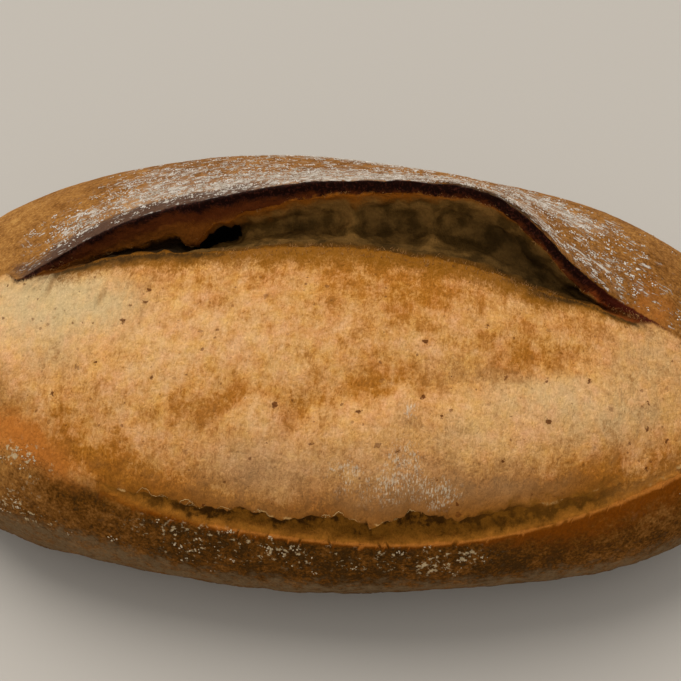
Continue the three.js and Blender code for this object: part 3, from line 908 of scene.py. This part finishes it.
def grooveColours(tree, noises):
    fromCrag = attribute(tree, "fromCrag")
    # dark spots in the groove, partly painted shade: darker in a band across its middle and where the tear is
    # deep
    spotsAndShade = shift(tree, stir(tree, noises["medium"], noises, small=0.9), fromCrag, 0.018, 3.5)
    spotsAndShade = shift(tree, spotsAndShade, attribute(tree, "grooveShadeBand"), -0.15, 0.4)
    deep = times(tree, ramp(tree, spotsAndShade, 0.6, 0.38), attribute(tree, "tornDeep"))
    colour = blend(tree, deep, crustTones["groove"], crustTones["grooveDark"])
    amber = ramp(tree, stir(tree, "amber", noises, small=0.8), 0.3, 0.8, 0.0, 0.8)
    colour = blend(tree, amber, colour, crustTones["amber"])
    colour = blend(tree, attribute(tree, "slopeFade"), colour, crustTones["slope"])
    nearLip = stir(tree, "fromLip", noises, small=6.0, medium=5.0)
    return blend(tree, ramp(tree, nearLip, -3.6, 0.2, 0.0, 0.85), colour, crustTones["lip"])


def makeBread():
    material, tree, shader = newMaterial("bakedBread")
    place = objectPlace(tree)
    along = putNode(tree, "SeparateXYZ", {0: place}).outputs[0]
    onSkin = putNode(tree, "CombineXYZ", {"X": along, "Y": attribute(tree, "across")}).outputs[0]
    alongCut = putNode(tree, "CombineXYZ", {"X": along, "Y": attribute(tree, "flourLine")}).outputs[0]
    noises = {name: cloud(tree, place, **noise) for name, noise in breadNoises.items()}
    opening, tear = attribute(tree, "opening"), attribute(tree, "tear")
    backColour, frontColour, dust = crustColours(tree, place, alongCut, noises)
    faceColour, crumbColour = hollowColours(tree, onSkin, noises)
    bloomColour = bloomColours(tree, place, onSkin, noises)
    flake = ramp(tree, stir(tree, "fromCrag", noises, small=2.0), -0.7, -0.1)  # pale at the torn edge
    flake = times(tree, flake, ramp(tree, noises["medium"], 0.55, 0.63))
    bloomColour = blend(tree, times(tree, flake, tear), bloomColour, crustTones["flake"])

    # one skin after the other, from the back to the front
    inFace = times(tree, ramp(tree, attribute(tree, "fromRim"), -0.2, 0.2), opening)
    inHollow = times(tree, ramp(tree, stir(tree, "fromFoot", noises, small=2.0), -0.4, 0.4), opening)
    inBloom = ramp(tree, stir(tree, "fromBloom", noises, fibre=2.6), -0.9, 0.7)
    inBloom = times(tree, inBloom, attribute(tree, "bloomReach"))
    inGroove = times(tree, ramp(tree, stir(tree, "fromTear", noises, small=4.0), -1.0, 1.0), tear)
    inFront = ramp(tree, stir(tree, "fromEdge", noises, medium=1.6), -1.0, 1.0)
    ridge = ramp(tree, stir(tree, "lipRidge", noises, small=1.0, medium=1.2), 0.4, 1.0, 0.0, 0.65)
    colour = backColour
    for share, skin in ((inFace, faceColour), (inHollow, crumbColour), (inBloom, bloomColour),
                        (inGroove, grooveColours(tree, noises)), (inFront, frontColour),
                        (ridge, crustTones["ridge"])):
        colour = blend(tree, share, colour, skin)
    grain = stir(tree, 1.0, noises, fine=-0.44, fibre=-0.56)  # finest light and dark
    colour = putNode(tree, "HueSaturation", {"Color": colour, "Value": grain}).outputs[0]
    tree.links.new(colour, shader["Base Color"])

    rough = ramp(tree, noises["fine"], 0.3, 0.7, *breadSkin["roughness"])
    rough = calc(tree, "ADD", rough, times(tree, inBloom, breadSkin["bloomRoughness"]))
    tree.links.new(rough, shader["Roughness"])
    shader["Specular IOR Level"].default_value = breadSkin["specular"]
    heights, height = {**noises, "dust": dust}, 0.0
    for name, amount in breadSkin["reliefs"].items():
        height = calc(tree, "ADD", height, times(tree, heights[name], amount))
    bump = putNode(tree, "Bump", {"Height": height, "Strength": breadSkin["bump"],
                                  "Distance": breadSkin["bumpDistance"] * mm})
    tree.links.new(bump.outputs[0], shader["Normal"])
    return material


def makeFlour():
    material, tree, shader = newMaterial("lyingFlour")
    place = objectPlace(tree)
    lit = ramp(tree, cloud(tree, place, 2.0, 3), 0.35, 0.65)
    colour = blend(tree, lit, flourGrains["dull"], flourGrains["bright"])
    across = putNode(tree, "SeparateXYZ", {0: place}).outputs[1]
    atFront = ramp(tree, across, *flourGrains["frontReach"], 0.0, flourGrains["frontShare"])
    colour = blend(tree, atFront, colour, flourGrains["front"])
    tree.links.new(colour, shader["Base Color"])
    shader["Roughness"].default_value = flourGrains["roughness"]
    shader["Specular IOR Level"].default_value = flourGrains["specular"]
    return material


# grains of flour that lie on the crust in small drifts
flourGrains = {
    "drifts": 1700, "gather": 1.4, "grains": (2, 10), "spread": (0.7, 0.5, 0.5), "seed": 11,
    "size": (0.14, 0.34), "build": (0.75, 1.25), "lumps": 0.35, "flatness": 0.5, "sunk": 0.25,
    "leastHeight": 5, "clearOfRim": 1.8, "onFront": 0.45,
    "bright": tone(228, 221, 212), "dull": tone(180, 165, 146), "front": tone(186, 160, 116),
    "frontReach": (-20, -45), "frontShare": 0.7, "roughness": 0.95, "specular": 0.1,
}


def scatterFlour(loaf):
    rng = np.random.default_rng(flourGrains["seed"])
    mesh = loaf.data
    # faces come in another order each run, so they are taken in the order of the loaf's grid
    gridPlace = readAttribute(loaf, "gridPlace")
    corners = np.array([sorted(polygon.vertices, key=gridPlace.item)[:3] for polygon in mesh.polygons])
    lasts = np.array([gridPlace[list(polygon.vertices)].max() for polygon in mesh.polygons])
    order = np.lexsort((lasts, gridPlace[corners[:, 0]]))
    places = readVectors(mesh.vertices, "co")
    fromRim, fromLip = readAttribute(loaf, "fromRim"), readAttribute(loaf, "fromLip")
    density = np.maximum(readAttribute(loaf, "crustFlour"), 0)
    density[(fromRim > -flourGrains["clearOfRim"]) & (fromLip < 0)] = 0
    density = density * np.where(fromLip > 0, flourGrains["onFront"], 1)
    area = np.empty(len(mesh.polygons))
    mesh.polygons.foreach_get("area", area)
    raised = places[corners, 2].mean(1) > flourGrains["leastHeight"] * mm
    weight = density[corners].mean(1) ** flourGrains["gather"] * area * raised
    chosen = order[rng.choice(len(weight), flourGrains["drifts"], p=weight[order] / weight.sum())]
    counts = rng.integers(*flourGrains["grains"], flourGrains["drifts"])
    centre = np.repeat(places[corners[chosen]].mean(1), counts, 0)
    tossed = centre + rng.normal(0, 1, centre.shape) * np.array(flourGrains["spread"]) * mm
    tree = BVHTree.FromObject(loaf, bpy.context.evaluated_depsgraph_get())

    deselectAll()
    bpy.ops.mesh.primitive_ico_sphere_add(subdivisions=1, radius=1)
    grain = bpy.context.active_object
    bpy.ops.object.mode_set(mode="EDIT")
    bpy.ops.transform.vertex_random(offset=flourGrains["lumps"], seed=flourGrains["seed"])
    bpy.ops.transform.resize(value=(1, 1, flourGrains["flatness"]))
    bpy.ops.object.mode_set(mode="OBJECT")
    form = np.array([vertex.co[:] for vertex in grain.data.vertices])
    faces = np.array([polygon.vertices[:] for polygon in grain.data.polygons])
    least, most = flourGrains["size"]
    spins = rng.uniform(0, 2 * math.pi, len(tossed))
    sizes = (least + (most - least) * rng.random(len(tossed)) ** 2) * mm
    builds = rng.uniform(*flourGrains["build"], (len(tossed), 3))
    lift = flourGrains["flatness"] - flourGrains["sunk"]
    points, sides = [], []
    for spot, spin, size, build in zip(tossed, spins, sizes, builds):
        foot, _, face, _ = tree.find_nearest(Vector(spot))
        around = [mesh.vertices[index] for index in mesh.polygons[face].vertices]
        near = min(around, key=lambda vertex: (vertex.co - foot).length)
        if density[near.index] <= 0:
            continue
        turn = near.normal.to_track_quat("Z", "Y").to_matrix() @ Matrix.Rotation(spin, 3, "Z")
        place = np.array(foot) + np.array(near.normal) * size * lift
        points.append(form * build * size @ np.array(turn).T + place)
        sides.append(faces + len(sides) * len(form))
    grain.data.clear_geometry()
    grain.data.from_pydata(np.concatenate(points).tolist(), [], np.concatenate(sides).tolist())
    grain.data.update()
    grain.name = "lyingFlour"
    bpy.ops.object.shade_smooth()
    grain.data.materials.append(makeFlour())
    print("flour scattered,", len(sides), "grains")
    return grain


# strands of crumb that the tear pulled out
strands = {
    "zones": [  # line they grow along, from where to where, how many, and their lengths
        {"line": "fromCrest", "reach": (-2.5, 2.5), "count": 650, "length": (0.4, 1.4),
         "ends": (-0.24, 0.46)},
        {"line": "fromFoot", "reach": (-0.8, 0.8), "count": 500, "length": (0.4, 1.1),
         "ends": (-0.6, 0.64)},
    ],
    "thick": (0.04, 0.09), "taper": 0.8, "stand": 0.6, "lean": (0, 0.4, 0.5), "spread": 0.5, "droop": 0.25,
    "rootSpread": 0.25, "waver": 0.08, "points": 4, "sides": 3, "side": (0.3, 0.8, 0.52), "seed": 5,
    "pale": tone(190, 138, 78), "brown": tone(118, 74, 26), "patch": 3, "roughness": 0.9,
}
tornSkins = {  # thin edges of skin that arch over the groove
    "count": 16, "ends": (-0.4, 0.2), "span": (0.012, 0.03), "rise": (-1.0, 1.8), "thick": (0.05, 0.12),
    "points": 9, "near": 4, "lift": 0.1, "waver": 0.08, "tips": 0.3, "tone": tone(212, 176, 116),
}


def tube(path, radii, sides):
    # points and faces of a thin tapered tube along a path
    along = np.gradient(path, axis=0)
    along /= np.linalg.norm(along, axis=1, keepdims=True)
    aside = np.cross(along, strands["side"])
    aside /= np.linalg.norm(aside, axis=1, keepdims=True)
    upward = np.cross(along, aside)
    turns = 2 * math.pi * np.arange(sides) / sides
    ring = aside[:, None] * np.cos(turns)[None, :, None] + upward[:, None] * np.sin(turns)[None, :, None]
    points = path[:, None] + ring * radii[:, None, None]
    faces = []
    for start in range(0, (len(path) - 1) * sides, sides):
        for side in range(sides):
            after = (side + 1) % sides
            faces.append([start + side, start + after, start + sides + after, start + sides + side])
    faces.append(list(range(sides))[::-1])
    faces.append([(len(path) - 1) * sides + side for side in range(sides)])
    return points.reshape(-1, 3), faces


def strandPaths(loaf):
    rng = np.random.default_rng(strands["seed"])
    mesh = loaf.data
    places = readVectors(mesh.vertices, "co") / mm
    normals = readVectors(mesh.vertex_normals, "vector")
    station = places[:, 0] / (loafLength / 2)
    share = np.linspace(0, 1, strands["points"])
    for zone in strands["zones"]:
        away = readAttribute(loaf, zone["line"])
        least, most = zone["reach"]
        left, right = zone["ends"]
        inside = (away > least) & (away < most) & (station > left) & (station < right)
        for root in rng.choice(np.flatnonzero(inside), zone["count"]):
            heading = normals[root] * strands["stand"] + np.array(strands["lean"])
            heading = heading + rng.normal(0, strands["spread"], 3)
            heading /= np.linalg.norm(heading)
            length = rng.uniform(*zone["length"])
            path = places[root] + rng.normal(0, strands["rootSpread"], 3) + heading * length * share[:, None]
            path[:, 2] -= strands["droop"] * length * share ** 2
            path = path + rng.normal(0, strands["waver"], path.shape) * length * share[:, None]
            yield path, rng.uniform(*strands["thick"]) * (1 - strands["taper"] * share), 0
    fromCrag = readAttribute(loaf, "fromCrag")
    share = np.linspace(0, 1, tornSkins["points"])
    for _ in range(tornSkins["count"]):
        start, span = rng.uniform(*tornSkins["ends"]), rng.uniform(*tornSkins["span"])
        rise, thick = rng.uniform(*tornSkins["rise"]), rng.uniform(*tornSkins["thick"])
        path = []
        for step in share:
            away = (station - start - span * step) * loafLength / 2
            above = fromCrag + rise * math.sin(math.pi * step)
            near = np.argsort(away ** 2 + above ** 2)[:tornSkins["near"]]
            spot = places[near].mean(0) + normals[near].mean(0) * tornSkins["lift"]
            path.append(spot + rng.normal(0, tornSkins["waver"], 3))
        radii = thick * (tornSkins["tips"] + (1 - tornSkins["tips"]) * np.sin(math.pi * share))
        yield np.array(path), radii, 1


def makeStrands(loaf):
    deselectAll()
    bpy.ops.mesh.primitive_cylinder_add(vertices=strands["sides"], radius=mm, depth=mm)
    piece = bpy.context.active_object
    piece.name = "tornStrands"
    points, faces, onSkin, count = [], [], [], 0
    for path, radii, skin in strandPaths(loaf):
        spots, sides = tube(path, radii, strands["sides"])
        points.append(spots * mm)
        onSkin += [skin] * len(spots)
        faces += [[count + corner for corner in face] for face in sides]
        count += len(spots)
    piece.data.clear_geometry()
    piece.data.from_pydata(np.concatenate(points).tolist(), [], faces)
    piece.data.update()
    setAttribute(piece, "tornSkin", onSkin)
    smoothSkin()
    material, tree, shader = newMaterial("tornCrumb")
    shade = cloud(tree, objectPlace(tree), strands["patch"])
    colour = blend(tree, ramp(tree, shade, 0.4, 0.62), strands["brown"], strands["pale"])
    colour = blend(tree, attribute(tree, "tornSkin"), colour, tornSkins["tone"])
    tree.links.new(colour, shader["Base Color"])
    shader["Roughness"].default_value = strands["roughness"]
    piece.data.materials.append(material)
    print("strands drawn,", len(faces), "faces")
    return piece


loaf = shapeLoaf()
roughenLoaf(loaf)
loaf.data.materials.append(makeBread())
flour = scatterFlour(loaf)
torn = makeStrands(loaf)
for piece in (loaf, flour, torn):
    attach(piece, "root")
    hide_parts("loaf")

# floor, light and camera
studio = {
    "floorSize": 30.0, "floorColour": (0.47, 0.44, 0.4), "floorRoughness": 0.75,
    "keyElevation": 62, "keyAzimuth": 34, "keySpread": 42, "keyStrength": 1.85, "keyColour": (1.0, 0.96, 0.9),
    "fillPlace": (0.1, -0.8, 0.5), "fillSize": 0.9, "fillPower": 0.8, "fillColour": (1.0, 0.97, 0.92),
    "worldColour": (1.0, 0.98, 0.94), "worldStrength": 0.58,
}
cameraView = {"azimuth": 5.12, "elevation": 50.0, "distance": 308.6, "fieldOfView": 36.0,
              "target": (1.78, 1.45, 37.4), "clipStart": 0.01}


def addLight(kind, name, power, colour, **place):
    bpy.ops.object.light_add(type=kind, **place)
    light = bpy.context.active_object
    light.name = name
    light.data.energy = power
    light.data.color = colour
    return light.data


def buildStudio():
    deselectAll()
    bpy.ops.mesh.primitive_plane_add(size=studio["floorSize"])
    floor = bpy.context.active_object
    floor.name = "paleFloor"
    material, _, shader = newMaterial("paleFloor")
    shader["Base Color"].default_value = (*studio["floorColour"], 1)
    shader["Roughness"].default_value = studio["floorRoughness"]
    floor.data.materials.append(material)
    tilt, turn = math.radians(90 - studio["keyElevation"]), math.radians(studio["keyAzimuth"])
    turned = (-tilt, 0, turn)  # from above and behind
    key = addLight("SUN", "keyLight", studio["keyStrength"], studio["keyColour"], rotation=turned)
    key.angle = math.radians(studio["keySpread"])
    place = np.array(studio["fillPlace"])
    aim = -place / np.linalg.norm(place)
    turned = (math.acos(-aim[2]), 0, math.atan2(-aim[0], aim[1]))
    fill = addLight("AREA", "fillLight", studio["fillPower"], studio["fillColour"], location=tuple(place),
                    rotation=turned)
    fill.size = studio["fillSize"]
    world = bpy.data.worlds.new("softRoom")
    bpy.context.scene.world = world
    world.use_nodes = True
    sky = world.node_tree.nodes["Background"].inputs
    sky["Color"].default_value = (*studio["worldColour"], 1)
    sky["Strength"].default_value = studio["worldStrength"]
    bpy.context.scene.view_settings.view_transform = "Standard"
    print("studio lit")


def placeCamera():
    azimuth, elevation = math.radians(cameraView["azimuth"]), math.radians(cameraView["elevation"])
    away = np.array([math.sin(azimuth) * math.cos(elevation), -math.cos(azimuth) * math.cos(elevation),
                     math.sin(elevation)])
    place = (np.array(cameraView["target"]) + away * cameraView["distance"]) * mm
    bpy.ops.object.camera_add(location=tuple(place), rotation=(math.pi / 2 - elevation, 0, azimuth))
    camera = bpy.context.active_object
    camera.name = "tableCamera"
    camera.data.angle = math.radians(cameraView["fieldOfView"])
    camera.data.clip_start = cameraView["clipStart"]
    bpy.context.scene.camera = camera
    print("camera placed")


buildStudio()
placeCamera()
